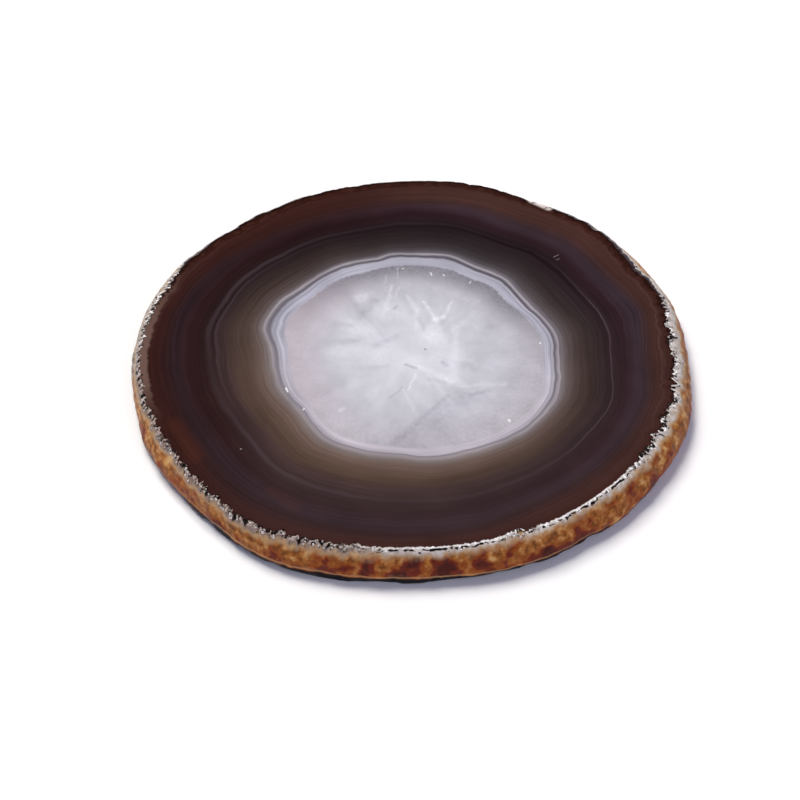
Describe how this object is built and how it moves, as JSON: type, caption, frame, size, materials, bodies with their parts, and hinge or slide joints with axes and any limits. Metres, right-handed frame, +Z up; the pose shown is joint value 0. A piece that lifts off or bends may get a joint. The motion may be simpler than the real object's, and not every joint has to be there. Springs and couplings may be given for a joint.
{
  "type": "agate coaster",
  "caption": "Coaster for a cup: a slice of banded agate round a pale quartz heart, polished flat on both faces, with the stone's rough rind left round its edge.",
  "frame": {"origin": "middle of the slice's outline, on the face that it rests on", "axes": "+Z up through the slice, out of its upper polished face; +X along its longest way across"},
  "size_m": [0.07, 0.0658, 0.005],
  "materials": {
    "banded_agate": "polished banded faces, rough rind"
  },
  "bodies": {
    "root": {"agate_slice": "banded_agate"}
  },
  "joints": []
}
